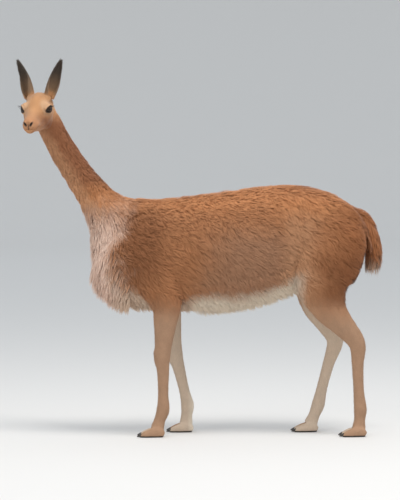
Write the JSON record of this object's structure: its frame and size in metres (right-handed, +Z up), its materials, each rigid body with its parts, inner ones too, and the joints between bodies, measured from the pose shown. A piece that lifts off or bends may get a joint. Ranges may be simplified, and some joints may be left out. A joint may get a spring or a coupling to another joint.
{
  "type": "vicuna",
  "caption": "Still, life-size model of a standing vicuna with its head turned aside, slender legs, fleece and long chest hair.",
  "frame": {"origin": "on the floor, under the centre of the whole model's box", "axes": "+Z up, the body faces -Y, and the animal's own left side is +X"},
  "size_m": [0.3404, 1.2884, 1.3221],
  "materials": {
    "coat": "soft, dense fawn wool and short hair, cream below",
    "eye": "wet gloss",
    "nail": "dull horn"
  },
  "bodies": {
    "root": {"head": "coat", "neck": "coat", "torso": "coat", "tail": "coat", "shoulder_left": "coat", "shoulder_right": "coat", "thigh_left": "coat", "thigh_right": "coat", "leg_fore_left": "coat", "leg_fore_right": "coat", "leg_hind_left": "coat", "leg_hind_right": "coat", "ear_left": "coat", "ear_right": "coat", "eye_left": "eye", "eye_right": "eye", "nail_fore_left_left": "nail", "nail_fore_left_right": "nail", "nail_fore_right_left": "nail", "nail_fore_right_right": "nail", "nail_hind_left_left": "nail", "nail_hind_left_right": "nail", "nail_hind_right_left": "nail", "nail_hind_right_right": "nail"}
  },
  "joints": []
}
